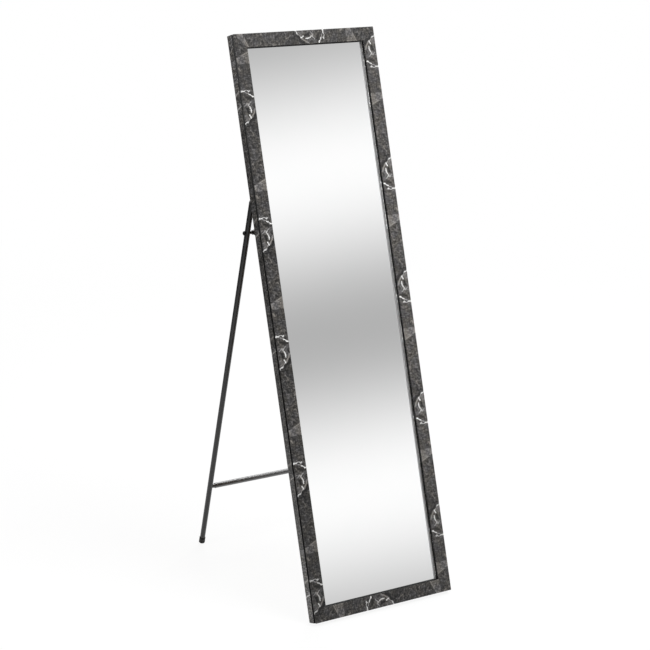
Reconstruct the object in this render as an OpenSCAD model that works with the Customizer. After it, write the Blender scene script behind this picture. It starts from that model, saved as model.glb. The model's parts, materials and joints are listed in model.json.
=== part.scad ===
// Full-length mirror in a mitred frame on a folding two-legged stand.
// The origin is on the floor, midway between the sides and between the front edge and the feet.
// +X is to the right, +Y is to the back, +Z is up. The stand is drawn open.

/* [Frame] */
// Width of the frame across its front
frame_w = 350; // [300:5:500]
// Height of the frame along its front
frame_h = 1250; // [1150:10:1700]
// Lean of the mirror from upright when the stand is open
lean_angle = 16.5; // [13:0.5:20]

/* [Rail profile] */
// Width of the front face of a rail
rail_face_w = 30; // [30:1:45]
// Depth of a rail from its front face to its back face
rail_depth = 27; // [24:1:36]
// Thickness of the cap in front of the groove
cap_t = 1.5; // [1.2:0.1:2]
// Height of the groove behind the cap
groove_h = 6.2; // [5:0.2:6.8]
// Depth of the groove in the outer and inner walls
groove_depth = 2; // [1:0.5:3]
// Radius of the front edges of the cap
cap_edge_r = 0.8; // [0.3:0.1:1]
// Distance of the glass behind the front face
sight_depth = 9; // [8.5:0.5:16]
// Overlap of the rail's lip on the edge of the glass
lip_w = 5.5; // [4:0.5:7]

/* [Glass and back] */
// Thickness of the mirror glass
glass_t = 3; // [2:0.5:4]
// Thickness of the backing board
board_t = 3; // [2:0.5:4]
// Gap between the edges of the glass and board and the rebate wall
rebate_gap = 0.5; // [0.3:0.1:1]
// Length of a backing tab, half of it in the rail
tab_len = 14; // [10:1:18]
// Width of a backing tab
tab_w = 8; // [5:0.5:10]
// Thickness of a backing tab
tab_t = 0.8; // [0.5:0.1:1.2]
// Number of backing tabs on each side rail
side_tab_count = 5; // [3:1:8]
// Distance from a corner of the frame to the first tab
tab_end_gap = 130; // [100:5:140]

/* [Corner nails] */
// Length of each wing of a corner nail
nail_wing = 6; // [4:0.5:7]
// Height of a corner nail, driven into the back of the mitre
nail_h = 10; // [7:1:12]
// Thickness of a corner nail
nail_t = 0.8; // [0.5:0.1:1.2]
// Distance of the outer corner nail from the outer corner, along each rail's width
nail_inset = 7; // [5:0.5:8]
// Spacing of the two nails of a corner, along each rail's width
nail_pitch = 9; // [8:0.5:10]

/* [Stand] */
// Outer diameter of the leg tubes
leg_d = 12; // [10:0.5:13]
// Outer diameter of the crossbar
crossbar_d = 12; // [10:0.5:13]
// Wall of the tubes
tube_wall = 1; // [0.8:0.1:1.5]
// Angle between the open legs and the back of the frame
open_angle = 32; // [28:0.2:36]
// Distance of a leg's axis from the outer side of the frame
leg_inset = 12; // [11.5:0.1:12.5]
// Height of the hinge axis along the frame
hinge_h = 908; // [860:2:1000]
// Distance of the hinge axis behind the back of the frame
hinge_off = 9.2; // [9.2:0.2:12]
// Distance of the crossbar's axis from the end of the foot, along the leg
crossbar_h = 158; // [120:1:220]

/* [Hinge] */
// Distance from the hinge axis to the upper end of the tube
eye_drop = 9.5; // [9:0.5:14]
// Thickness of the flat eye that stands on the tube and turns on the hinge pin
eye_t = 4; // [3:0.5:4.5]
// Width of the flat eye and of its round end
eye_w = 11; // [9.5:0.5:12]
// Thickness of the collar between the eye and the tube
eye_collar_t = 1.5; // [1:0.1:1.5]
// Length of the eye's stem inside the tube
eye_stem_len = 14; // [10:1:20]
// Thickness of the sheet of the hinge brackets
bracket_t = 2; // [1.5:0.1:2.2]
// Width of a hinge bracket's base across the rail
bracket_w = 12; // [11.5:0.5:13]
// Length of a hinge bracket's base
bracket_len = 52; // [48:1:60]
// Distance between the two screws of a hinge bracket
bracket_screw_pitch = 36; // [34:1:40]
// Radius of the round end of a bracket's ear
ear_r = 6.5; // [5.5:0.25:6.75]
// Radius of the corners of the brackets' and arms' bases
plate_corner_r = 3; // [1:0.5:5]
// Side gap between an eye and the ear on one side, and the pin's head on the other
ear_gap = 0.3; // [0.2:0.1:0.6]
// Diameter of the hinge pins
pin_d = 5; // [4:0.5:5]
// Diameter of the heads of the hinge pins
pin_head_d = 8; // [7:0.5:9]
// Height of the heads of the hinge pins
pin_head_h = 1.5; // [1:0.1:1.6]

/* [Limit arm] */
// Distance of the limit bolt from the hinge axis, along the leg
bolt_reach = 84; // [75:1:95]
// Diameter of the limit bolts
bolt_d = 5; // [4:0.5:5]
// Diameter of the round heads of the limit bolts
bolt_head_d = 10; // [8:0.5:11]
// Height of the heads of the limit bolts
bolt_head_h = 4.6; // [3:0.2:4.8]
// Thickness of the sheet of the limit arms
arm_t = 2; // [1.5:0.1:2.2]
// Width of the curved part of a limit arm
arm_w = 10; // [9.5:0.5:11]
// Diameter of the round tip of a limit arm
arm_tip_d = 12; // [11.5:0.5:14]
// Length of a limit arm's base along the rail
arm_base_len = 40; // [38:1:46]
// Distance between the two screws of a limit arm
arm_screw_pitch = 26; // [24:1:28]
// Length of the spacers between the legs and the limit arms
spacer_len = 10.5; // [10:0.1:11.5]
// Outer diameter of a spacer's collar, beside the limit arm
spacer_d = 10; // [9:0.5:11]
// Length of a spacer's neck, beside the leg
spacer_neck_len = 6; // [4:0.5:7]
// Outer diameter of a spacer's neck
spacer_neck_d = 6.4; // [6.2:0.1:8]
// Thickness of the washers
washer_t = 1; // [0.8:0.1:1.5]
// Outer diameter of the washers
washer_d = 10; // [9:0.5:12]
// Height of the lock nuts
nut_h = 4.7; // [4:0.1:6]
// Width of the lock nuts across their flats
nut_w = 8; // [7:0.5:9]
// Length of bolt that shows past the nut
bolt_end = 1.2; // [0.5:0.1:2]

/* [Screws] */
// Diameter of the bracket screws
screw_d = 3.5; // [3:0.1:4]
// Length of the bracket screws
screw_len = 16; // [12:1:18]
// Diameter of the countersunk heads of the bracket screws
screw_head_d = 7; // [6.5:0.1:7.5]
// Height of the countersunk heads of the bracket screws
screw_head_h = 1.75; // [1.6:0.05:2]
// Width of the cross recess in a screw's head
recess_w = 1; // [0.8:0.1:1.2]
// Depth of the cross recess in a screw's head
recess_depth = 1.2; // [0.8:0.1:1.4]

/* [Crossbar ends and feet] */
// Diameter of the neck between the crossbar and a leg
neck_d = 9.5; // [7:0.5:9.5]
// Length of the neck that shows between the crossbar and a leg
neck_len = 6; // [4:0.5:12]
// Length of the crossbar plug inside the crossbar
neck_stem_len = 14; // [8:1:20]
// Outer diameter of the foot caps
foot_d = 14; // [13.5:0.5:17]
// Length of the foot caps
foot_len = 14.5; // [12:0.5:20]
// Thickness of the bottom of the foot caps
foot_base_t = 2.5; // [2:0.5:5]
// Radius of the lower edge of the foot caps
foot_edge_r = 1.2; // [0.8:0.2:3]
// Radius of the upper edge of the foot caps
foot_rim_r = 0.5; // [0.3:0.1:0.8]

/* [Clearances] */
// Radial gap between a pin, bolt, plug or tube and the hole that holds it
fit_gap = 0.05; // [0.03:0.01:0.1]
// Gap between a limit bolt and the sides of its slot
slot_gap = 0.3; // [0.2:0.05:0.4]
// Gap between a limit bolt and the round ends of its slot
slot_end_gap = 0.5; // [0.45:0.05:0.7]
// Gap between a limit arm and the spacer and washer beside it
slide_gap = 0.2; // [0.1:0.05:0.4]

/* [Hidden] */
$fn = 64;

// Names of the two sides
LEFT = -1;
RIGHT = 1;
SIDES = [LEFT, RIGHT];

// Reach of a cutting shape past the surface that it cuts
over = 1;
// Points on each rounded edge of the rail profile
edge_steps = 4;

// The rebate behind the lip, which holds the glass and the board
rebate_a = rail_face_w - lip_w;
board_back = sight_depth + glass_t + board_t;
pane_inset = rebate_a + rebate_gap;

// The leg, from the hinge axis to the floor
leg_tilt = open_angle - lean_angle;
hinge_y = (rail_depth + hinge_off) * cos(lean_angle) + hinge_h * sin(lean_angle);
hinge_z = hinge_h * cos(lean_angle) - hinge_off * sin(lean_angle);
foot_r = foot_d / 2;
foot_lift = foot_edge_r * (1 - cos(leg_tilt)) + (foot_r - foot_edge_r) * sin(leg_tilt);
foot_reach = (hinge_z - foot_lift) / cos(leg_tilt);
foot_y = hinge_y + foot_reach * sin(leg_tilt);

// Depth of the whole object on the floor, from the rounded front edge to the back of the feet
front_y = cap_edge_r * (cos(lean_angle) + sin(lean_angle) - 1);
back_y = foot_y + foot_edge_r * (1 - sin(leg_tilt)) + (foot_r - foot_edge_r) * cos(leg_tilt);
centre_y = (front_y + back_y) / 2;

// Stations across the width, measured inward from the outer side of the frame
leg_outer_a = leg_inset - leg_d / 2;
leg_inner_a = leg_inset + leg_d / 2;
arm_a = leg_inner_a + spacer_len;
washer_a = arm_a + arm_t + slide_gap;
nut_a = washer_a + washer_t + fit_gap;
ear_a = leg_inset + eye_t / 2 + ear_gap;
pin_a = leg_inset - eye_t / 2 - ear_gap;
bracket_base_a = ear_a + bracket_t - bracket_w;
bracket_screw_a = bracket_base_a + bracket_w / 2;

// The limit arm's curve is centred on the hinge axis
slot_w = bolt_d + 2 * slot_gap;
arm_foot_angle = asin(hinge_off / bolt_reach);
arm_h = hinge_h - bolt_reach * cos(arm_foot_angle);
arm_base_a = leg_outer_a;
arm_screw_a = leg_inset;

// The hole that each shank passes through
pin_hole_d = pin_d + 2 * fit_gap;
bolt_hole_d = bolt_d + 2 * fit_gap;

// Points of an arc about centre c, for rounded edges
function arc(c, r, from, to) =
    [for (i = [0 : edge_steps]) let (t = from + (to - from) * i / edge_steps)
        [c[0] + r * cos(t), c[1] + r * sin(t)]];

// Places children in the frame's own axes: x across, y back from the front face, z up the frame
module in_frame() {
    translate([0, -centre_y, rail_depth * sin(lean_angle)])
        rotate([-lean_angle, 0, 0])
            children();
}

// Places children in the axes of the open legs: origin on the hinge axis, z up the leg
module in_stand() {
    translate([0, hinge_y - centre_y, hinge_z])
        rotate([leg_tilt, 0, 0])
            children();
}

// Turns stations measured inward from the left side into places on either side
module on_side(side) {
    if (side == RIGHT)
        mirror([1, 0, 0])
            translate([-frame_w / 2, 0, 0])
                children();
    else
        translate([-frame_w / 2, 0, 0])
            children();
}

// Places what is drawn for the left rail on the rail at the bottom, or at the top
module on_bottom() {
    translate([frame_w / 2, 0, 0])
        rotate([0, -90, 0])
            children();
}

module on_top() {
    translate([-frame_w / 2, 0, frame_h])
        rotate([0, 90, 0])
            children();
}

// A round bar along +X, from x = 0
module bar_x(d, len) {
    rotate([0, 90, 0])
        cylinder(h = len, d = d);
}

// A low dome of diameter d and height h on the plane z = 0
module dome(d, h) {
    dome_r = (d * d / 4 + h * h) / (2 * h);
    intersection() {
        translate([0, 0, h - dome_r])
            sphere(r = dome_r);
        cylinder(h = h, d = d);
    }
}

// A flat plate on z = 0 with rounded corners, centred on the origin
module rounded_plate(size, t, r) {
    for (x = [-1, 1], y = [-1, 1])
        translate([x * (size[0] / 2 - r), y * (size[1] / 2 - r), 0])
            cylinder(h = t, r = r);
    translate([-size[0] / 2 + r, -size[1] / 2, 0])
        cube([size[0] - 2 * r, size[1], t]);
    translate([-size[0] / 2, -size[1] / 2 + r, 0])
        cube([size[0], size[1] - 2 * r, t]);
}

// Cross-section of the moulding: x inward from the outer wall, y back from the front face
module rail_profile() {
    groove_back = cap_t + groove_h;
    polygon(concat(
        arc([cap_edge_r, cap_edge_r], cap_edge_r, 180, 270),
        arc([rail_face_w - cap_edge_r, cap_edge_r], cap_edge_r, 270, 360),
        [
            [rail_face_w, cap_t],
            [rail_face_w - groove_depth, cap_t],
            [rail_face_w - groove_depth, groove_back],
            [rail_face_w, groove_back],
            [rail_face_w, sight_depth],
            [rebate_a, sight_depth],
            [rebate_a, rail_depth],
            [0, rail_depth],
            [0, groove_back],
            [groove_depth, groove_back],
            [groove_depth, cap_t],
            [0, cap_t]
        ]
    ));
}

// A length of the moulding along z, mitred at both ends
module mitred_rail(len) {
    intersection() {
        linear_extrude(height = len)
            rail_profile();
        translate([0, rail_depth + over, 0])
            rotate([90, 0, 0])
                linear_extrude(height = rail_depth + 2 * over)
                    polygon([[0, 0], [rail_face_w, rail_face_w], [rail_face_w, len - rail_face_w], [0, len]]);
    }
}

// One backing tab in the rebate of the left rail, half of it driven into the wall
module backing_tab(grow = 0) {
    translate([rebate_a - tab_len / 2 - grow, board_back - grow, -tab_w / 2 - grow])
        cube([tab_len + 2 * grow, tab_t + 2 * grow, tab_w + 2 * grow]);
}

module all_backing_tabs(grow = 0) {
    tab_pitch = (frame_h - 2 * tab_end_gap) / (side_tab_count - 1);
    for (side = SIDES, i = [0 : side_tab_count - 1])
        on_side(side)
            translate([0, 0, tab_end_gap + i * tab_pitch])
                backing_tab(grow);
    for (along = [tab_end_gap, frame_w - tab_end_gap]) {
        on_bottom()
            translate([0, 0, along])
                backing_tab(grow);
        on_top()
            translate([0, 0, along])
                backing_tab(grow);
    }
}

// One V-shaped nail on the mitre of the lower left corner, a wing in each rail
module corner_nail(inset, grow = 0) {
    side = nail_t + 2 * grow;
    reach = nail_t / 2 + nail_wing + 2 * grow;
    depth = nail_h + grow;
    start = inset - nail_t / 2 - grow;
    translate([start, rail_depth - depth, start]) {
        cube([side, depth, reach]);
        cube([reach, depth, side]);
    }
}

module all_corner_nails(grow = 0) {
    for (side = SIDES, inset = [nail_inset, nail_inset + nail_pitch]) {
        on_side(side)
            corner_nail(inset, grow);
        on_side(side)
            translate([0, 0, frame_h])
                mirror([0, 0, 1])
                    corner_nail(inset, grow);
    }
}

// Places of the screws of one side, on the back faces of the plates, with z out of the frame
module at_plate_screws() {
    for (along = [-1, 1]) {
        translate([bracket_screw_a, rail_depth + bracket_t, hinge_h + along * bracket_screw_pitch / 2])
            rotate([-90, 0, 0])
                children();
        translate([arm_screw_a, rail_depth + arm_t, arm_h + along * arm_screw_pitch / 2])
            rotate([-90, 0, 0])
                children();
    }
}

// The shape of a countersunk screw whose head is flush with z = 0
module screw_shape(grow = 0) {
    translate([0, 0, -screw_head_h])
        cylinder(h = screw_head_h, d1 = screw_d + 2 * grow, d2 = screw_head_d + 2 * grow);
    translate([0, 0, -screw_len])
        cylinder(h = screw_len, d = screw_d + 2 * grow);
}

// The room that a screw takes in its plate and rail, open at the head
module screw_room() {
    screw_shape(grow = fit_gap);
    cylinder(h = over, d = screw_head_d + 2 * fit_gap);
}

module all_screw_rooms() {
    for (side = SIDES)
        on_side(side)
            at_plate_screws()
                screw_room();
}

// One rail with the pockets that its tabs, nails and screws are driven into
module finished_rail() {
    color("#45433f")
        in_frame()
            difference() {
                children();
                all_backing_tabs(grow = fit_gap);
                all_corner_nails(grow = fit_gap);
                all_screw_rooms();
            }
}

module frame_rail_left() {
    finished_rail()
        on_side(LEFT)
            mitred_rail(frame_h);
}

module frame_rail_right() {
    finished_rail()
        on_side(RIGHT)
            mitred_rail(frame_h);
}

module frame_rail_top() {
    finished_rail()
        on_top()
            mitred_rail(frame_w);
}

module frame_rail_bottom() {
    finished_rail()
        on_bottom()
            mitred_rail(frame_w);
}

// A flat sheet in the rebate, from depth y to y + t
module rebate_pane(y, t) {
    translate([-frame_w / 2 + pane_inset, y, pane_inset])
        cube([frame_w - 2 * pane_inset, t, frame_h - 2 * pane_inset]);
}

module mirror_glass() {
    color("#d5dbde")
        in_frame()
            rebate_pane(sight_depth, glass_t);
}

module backing_board() {
    color("#8a6a48")
        in_frame()
            rebate_pane(sight_depth + glass_t, board_t);
}

module backing_tabs() {
    color("#b9bbbd")
        in_frame()
            all_backing_tabs();
}

module corner_nails() {
    color("#a9abad")
        in_frame()
            all_corner_nails();
}

// A bent angle of sheet steel on the back of the rail, its ear on the inner side of the eye
module hinge_bracket(side) {
    color("#1d1d1f")
        in_frame()
            on_side(side)
                difference() {
                    union() {
                        translate([bracket_screw_a, rail_depth, hinge_h])
                            rotate([-90, 0, 0])
                                rounded_plate([bracket_w, bracket_len], bracket_t, plate_corner_r);
                        translate([ear_a, rail_depth, hinge_h - ear_r])
                            cube([bracket_t, hinge_off, 2 * ear_r]);
                        translate([ear_a, rail_depth + hinge_off, hinge_h])
                            bar_x(2 * ear_r, bracket_t);
                    }
                    translate([ear_a - over, rail_depth + hinge_off, hinge_h])
                        bar_x(pin_hole_d, bracket_t + 2 * over);
                    at_plate_screws()
                        screw_room();
                }
}

module hinge_bracket_left() {
    hinge_bracket(LEFT);
}

module hinge_bracket_right() {
    hinge_bracket(RIGHT);
}

// A rivet through the eye and the ear, with a low head on each side
module hinge_pin(side) {
    pin_len = ear_a + bracket_t - pin_a;
    color("#2b2b2d")
        in_frame()
            on_side(side)
                translate([pin_a, rail_depth + hinge_off, hinge_h]) {
                    bar_x(pin_d, pin_len);
                    translate([pin_len, 0, 0])
                        rotate([0, 90, 0])
                            dome(pin_head_d, pin_head_h);
                    rotate([0, -90, 0])
                        dome(pin_head_d, pin_head_h);
                }
}

module hinge_pin_left() {
    hinge_pin(LEFT);
}

module hinge_pin_right() {
    hinge_pin(RIGHT);
}

// A band of width w on the bolt's circle, in the arm's sheet, from angle a0 to a1 off the frame
module arc_band(w, t, a0, a1) {
    rotate([0, 90, 0])
        rotate([0, 0, a0])
            rotate_extrude(angle = a1 - a0)
                translate([bolt_reach - w / 2, 0])
                    square([w, t]);
}

// Moves children to the bolt's place in the arm when the leg stands at an angle off the frame
module at_bolt(angle) {
    rotate([angle, 0, 0])
        translate([0, 0, -bolt_reach])
            children();
}

// A bent plate: a base on the rail, and a curved arm with the slot that the limit bolt runs in
module limit_arm(side) {
    color("#1d1d1f")
        in_frame()
            on_side(side)
                difference() {
                    union() {
                        translate([(arm_base_a + arm_a + arm_t) / 2, rail_depth, arm_h])
                            rotate([-90, 0, 0])
                                rounded_plate([arm_a + arm_t - arm_base_a, arm_base_len], arm_t, plate_corner_r);
                        translate([arm_a, rail_depth + hinge_off, hinge_h]) {
                            arc_band(arm_w, arm_t, -arm_foot_angle, open_angle);
                            at_bolt(open_angle)
                                bar_x(arm_tip_d, arm_t);
                        }
                    }
                    translate([arm_a - over, rail_depth + hinge_off, hinge_h]) {
                        arc_band(slot_w, arm_t + 2 * over, 0, open_angle);
                        for (angle = [0, open_angle])
                            at_bolt(angle)
                                bar_x(bolt_d + 2 * slot_end_gap, arm_t + 2 * over);
                    }
                    translate([0, rail_depth - arm_w, arm_h - arm_base_len])
                        cube([arm_a + arm_t + over, arm_w, 2 * arm_base_len]);
                    at_plate_screws()
                        screw_room();
                }
}

module limit_arm_left() {
    limit_arm(LEFT);
}

module limit_arm_right() {
    limit_arm(RIGHT);
}

// A countersunk screw with a cross recess, its head flush with z = 0
module bracket_screw() {
    difference() {
        screw_shape();
        for (turn = [0, 90])
            rotate([0, 0, turn])
                translate([-screw_head_d / 4, -recess_w / 2, -recess_depth])
                    cube([screw_head_d / 2, recess_w, recess_depth + over]);
    }
}

module bracket_screws() {
    color("#2b2b2d")
        in_frame()
            for (side = SIDES)
                on_side(side)
                    at_plate_screws()
                        bracket_screw();
}

// A leg tube with the holes for its limit bolt and the neck of the crossbar
module leg(side) {
    tube_end = foot_base_t - foot_reach;
    tube_len = -eye_drop - tube_end;
    color("#232325")
        in_stand()
            on_side(side)
                translate([leg_inset, 0, 0])
                    difference() {
                        translate([0, 0, tube_end])
                            cylinder(h = tube_len, d = leg_d);
                        translate([0, 0, tube_end - over])
                            cylinder(h = tube_len + 2 * over, d = leg_d - 2 * tube_wall);
                        translate([-leg_d, 0, -bolt_reach])
                            bar_x(bolt_hole_d, 2 * leg_d);
                        translate([0, 0, crossbar_h - foot_reach])
                            bar_x(neck_d + 2 * fit_gap, leg_d);
                    }
}

module leg_left() {
    leg(LEFT);
}

module leg_right() {
    leg(RIGHT);
}

// A steel plug in the top of a leg: a stem in the tube, a collar on its end and a flat eye
module leg_plug(side) {
    color("#232325")
        in_stand()
            on_side(side)
                translate([leg_inset, 0, 0])
                    difference() {
                        union() {
                            translate([0, 0, -eye_drop - eye_stem_len])
                                cylinder(h = eye_stem_len + eye_collar_t / 2, d = leg_d - 2 * tube_wall - 2 * fit_gap);
                            translate([0, 0, -eye_drop])
                                cylinder(h = eye_collar_t, d = leg_d);
                            translate([-eye_t / 2, -eye_w / 2, -eye_drop])
                                cube([eye_t, eye_w, eye_drop]);
                            translate([-eye_t / 2, 0, 0])
                                bar_x(eye_w, eye_t);
                        }
                        translate([-eye_t / 2 - over, 0, 0])
                            bar_x(pin_hole_d, eye_t + 2 * over);
                    }
}

module leg_plug_left() {
    leg_plug(LEFT);
}

module leg_plug_right() {
    leg_plug(RIGHT);
}

// The crossbar is a tube that stops short of both legs
module crossbar() {
    bar_a = leg_inner_a + neck_len;
    bar_len = frame_w - 2 * bar_a;
    color("#2a2a2c")
        in_stand()
            translate([bar_a - frame_w / 2, 0, crossbar_h - foot_reach])
                difference() {
                    bar_x(crossbar_d, bar_len);
                    translate([-over, 0, 0])
                        bar_x(crossbar_d - 2 * tube_wall, bar_len + 2 * over);
                }
}

// A steel plug in the end of the crossbar, with a thinner neck that runs into the leg
module crossbar_plug(side) {
    neck_in = leg_d / 3;
    color("#232325")
        in_stand()
            on_side(side)
                translate([leg_inner_a, 0, crossbar_h - foot_reach]) {
                    translate([-neck_in, 0, 0])
                        bar_x(neck_d, neck_in + neck_len);
                    translate([neck_len, 0, 0])
                        bar_x(crossbar_d - 2 * tube_wall - 2 * fit_gap, neck_stem_len);
                }
}

module crossbar_plug_left() {
    crossbar_plug(LEFT);
}

module crossbar_plug_right() {
    crossbar_plug(RIGHT);
}

// A rubber cap with a rounded lower edge and a softened rim, closed below the tube
module foot_cap(side) {
    color("#161617")
        in_stand()
            on_side(side)
                translate([leg_inset, 0, -foot_reach])
                    difference() {
                        rotate_extrude()
                            union() {
                                square([foot_r - foot_edge_r, foot_len]);
                                translate([0, foot_edge_r])
                                    square([foot_r, foot_len - foot_edge_r - foot_rim_r]);
                                translate([foot_r - foot_edge_r, foot_edge_r])
                                    intersection() {
                                        circle(r = foot_edge_r);
                                        translate([0, -foot_edge_r])
                                            square(foot_edge_r);
                                    }
                                translate([0, foot_len - foot_rim_r])
                                    square([foot_r - foot_rim_r, foot_rim_r]);
                                translate([foot_r - foot_rim_r, foot_len - foot_rim_r])
                                    intersection() {
                                        circle(r = foot_rim_r);
                                        square(foot_rim_r);
                                    }
                            }
                        translate([0, 0, foot_base_t])
                            cylinder(h = foot_len, d = leg_d + 2 * fit_gap);
                    }
}

module foot_cap_left() {
    foot_cap(LEFT);
}

module foot_cap_right() {
    foot_cap(RIGHT);
}

// Stations of one side's limit bolt in the axes of the open legs
module at_limit_bolt(side, a) {
    in_stand()
        on_side(side)
            translate([a, 0, -bolt_reach])
                children();
}

module limit_bolt(side) {
    color("#19191a")
        at_limit_bolt(side, leg_outer_a) {
            rotate([0, -90, 0])
                dome(bolt_head_d, bolt_head_h);
            bar_x(bolt_d, nut_a + nut_h + bolt_end - leg_outer_a);
        }
}

module limit_bolt_left() {
    limit_bolt(LEFT);
}

module limit_bolt_right() {
    limit_bolt(RIGHT);
}

// A ring of length len on the limit bolt
module bolt_ring(d, len) {
    difference() {
        bar_x(d, len);
        translate([-over, 0, 0])
            bar_x(bolt_hole_d, len + 2 * over);
    }
}

// Stepped bushes, with a thin neck beside the leg and a thicker collar beside the arm
module bolt_spacers() {
    color("#19191a")
        for (side = SIDES)
            at_limit_bolt(side, leg_inner_a) {
                bolt_ring(spacer_neck_d, spacer_neck_len + over);
                translate([spacer_neck_len, 0, 0])
                    bolt_ring(spacer_d, spacer_len - spacer_neck_len - slide_gap);
            }
}

module bolt_washers() {
    color("#2b2b2d")
        for (side = SIDES)
            at_limit_bolt(side, washer_a)
                bolt_ring(washer_d, washer_t);
}

module lock_nuts() {
    color("#19191a")
        for (side = SIDES)
            at_limit_bolt(side, nut_a)
                difference() {
                    rotate([0, 90, 0])
                        cylinder(h = nut_h, d = nut_w / cos(30), $fn = 6);
                    translate([-over, 0, 0])
                        bar_x(bolt_hole_d, nut_h + 2 * over);
                }
}

frame_rail_left();
frame_rail_right();
frame_rail_top();
frame_rail_bottom();
mirror_glass();
backing_board();
backing_tabs();
corner_nails();
hinge_bracket_left();
hinge_bracket_right();
hinge_pin_left();
hinge_pin_right();
limit_arm_left();
limit_arm_right();
bracket_screws();
leg_left();
leg_right();
leg_plug_left();
leg_plug_right();
crossbar();
crossbar_plug_left();
crossbar_plug_right();
foot_cap_left();
foot_cap_right();
limit_bolt_left();
limit_bolt_right();
bolt_spacers();
bolt_washers();
lock_nuts();
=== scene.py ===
"""Finishes, small fittings and studio for the full-length standing mirror.

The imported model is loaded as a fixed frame. Each sub-assembly then gets its finishes, and a few small
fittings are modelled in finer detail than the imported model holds. Lengths are in metres, except in the
shaders, in the turned parts and in the names that end in _mm, where they are in millimetres.
"""

import json
import logging
import math
from dataclasses import dataclass
from enum import Enum
from functools import reduce
from typing import Any, Callable, Sequence, Union

import bpy
from mathutils import Matrix, Vector


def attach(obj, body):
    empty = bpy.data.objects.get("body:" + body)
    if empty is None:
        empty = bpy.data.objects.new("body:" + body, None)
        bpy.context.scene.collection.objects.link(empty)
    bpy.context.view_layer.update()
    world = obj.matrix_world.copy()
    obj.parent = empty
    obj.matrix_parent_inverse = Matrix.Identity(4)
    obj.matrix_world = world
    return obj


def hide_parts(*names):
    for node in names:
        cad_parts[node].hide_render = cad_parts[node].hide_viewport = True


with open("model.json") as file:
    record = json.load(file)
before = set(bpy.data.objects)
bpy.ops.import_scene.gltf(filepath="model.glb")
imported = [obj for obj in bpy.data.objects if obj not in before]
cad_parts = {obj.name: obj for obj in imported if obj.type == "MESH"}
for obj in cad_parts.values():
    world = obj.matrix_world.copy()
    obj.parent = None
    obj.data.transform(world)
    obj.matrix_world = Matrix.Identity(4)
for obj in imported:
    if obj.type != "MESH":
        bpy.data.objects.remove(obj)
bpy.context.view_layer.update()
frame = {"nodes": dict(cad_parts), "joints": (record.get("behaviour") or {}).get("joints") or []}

LOG = logging.getLogger("standing_mirror")
MM = 0.001
DISPLAY_GAMMA = 2.2
TURNED_SIDES = 48
SMOOTH_ANGLE = math.radians(35.0)

Number = Union[float, int]
Colour = tuple[float, float, float, float]
Piece = bpy.types.Object


class Side(Enum):
    """The two sides of the mirror, as the sign of x."""

    LEFT = -1
    RIGHT = 1


class Rail(Enum):
    """The four mitred rails of the frame."""

    LEFT = "left"
    RIGHT = "right"
    TOP = "top"
    BOTTOM = "bottom"


def linear(display: Number) -> float:
    """Turns a display brightness from 0 to 255 into a linear reflectance."""
    return (display / 255.0) ** DISPLAY_GAMMA


def paint(red: Number, green: Number, blue: Number) -> Colour:
    """Returns the linear colour of three display values from 0 to 255."""
    return (linear(red), linear(green), linear(blue), 1.0)


def grey(display: Number) -> Colour:
    """Returns the linear colour of a grey of that display brightness."""
    return paint(display, display, display)


def pair(kind: str) -> tuple[str, str]:
    """Returns the names of the left and the right node of one kind."""
    return (f"{kind}_left", f"{kind}_right")


@dataclass(frozen=True)
class Axes:
    """The axes of a body part that leans: where they start, and how far they turn about the x axis."""

    origin: Vector
    turn: float

    def point(self, across: float, depth: float, height: float) -> Vector:
        """Returns a point of these axes, in metres along the three of them, in the shared frame."""
        return self.origin + Matrix.Rotation(self.turn, 3, "X") @ Vector((across, depth, height))


@dataclass(frozen=True)
class Layout:
    """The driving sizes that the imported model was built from, and the axes that follow from them."""

    lean: float = math.radians(16.5)
    open_angle: float = math.radians(32.0)
    hinge_height: float = 0.908
    rail_depth: float = 0.027
    hinge_off: float = 0.0092
    frame_half: float = 0.175
    leg_inset: float = 0.012
    leg_radius: float = 0.006
    bolt_reach: float = 0.084
    foot_radius: float = 0.007
    foot_edge: float = 0.0012

    @property
    def hinge(self) -> Vector:
        """The middle of the hinge axis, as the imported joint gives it."""
        return Vector(frame["joints"][0]["pos_m"])

    @property
    def mirror_axes(self) -> Axes:
        """Axes of the frame: x across, y back from the front face, z up along the rails."""
        from_hinge = Vector((0.0, self.rail_depth + self.hinge_off, self.hinge_height))
        return Axes(self.hinge - Matrix.Rotation(-self.lean, 3, "X") @ from_hinge, -self.lean)

    @property
    def stand_axes(self) -> Axes:
        """Axes of the open stand: x across, z up along the legs from the hinge."""
        return Axes(self.hinge, self.open_angle - self.lean)

    @property
    def foot_reach(self) -> float:
        """Distance from the hinge to the end of a foot, along the leg."""
        tilt = self.open_angle - self.lean
        flat = self.foot_radius - self.foot_edge
        lift = self.foot_edge * (1.0 - math.cos(tilt)) + flat * math.sin(tilt)
        return (self.hinge.z - lift) / math.cos(tilt)

    def across(self, side: Side, inset: float) -> float:
        """Returns the x of a place that lies the inset in from one side of the frame."""
        return side.value * (self.frame_half - inset)

    def inward(self, side: Side, point: Vector, turn: float) -> Matrix:
        """Returns the matrix that lays a turned part at a point, with its z axis running inwards.

        Args:
            side: the side of the mirror that the part starts from.
            point: where its own origin comes.
            turn: the lean of the part that carries it.
        """
        along_x = Matrix.Rotation(-side.value * math.radians(90.0), 4, "Y")
        return Matrix.Translation(point) @ Matrix.Rotation(turn, 4, "X") @ along_x


LAYOUT = Layout()


def operator(operation: str, flipped: bool = False) -> Callable[["Value", "Term"], "Value"]:
    """Makes a Value's operator from a Math node's; flipped puts the Value second, as in 1 - mask."""

    def work_out(self: "Value", other: "Term") -> "Value":
        """Adds the Math node and returns its result."""
        first, second = (other, self) if flipped else (self, other)
        return self.sheet.math(operation, first, second)

    return work_out


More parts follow.
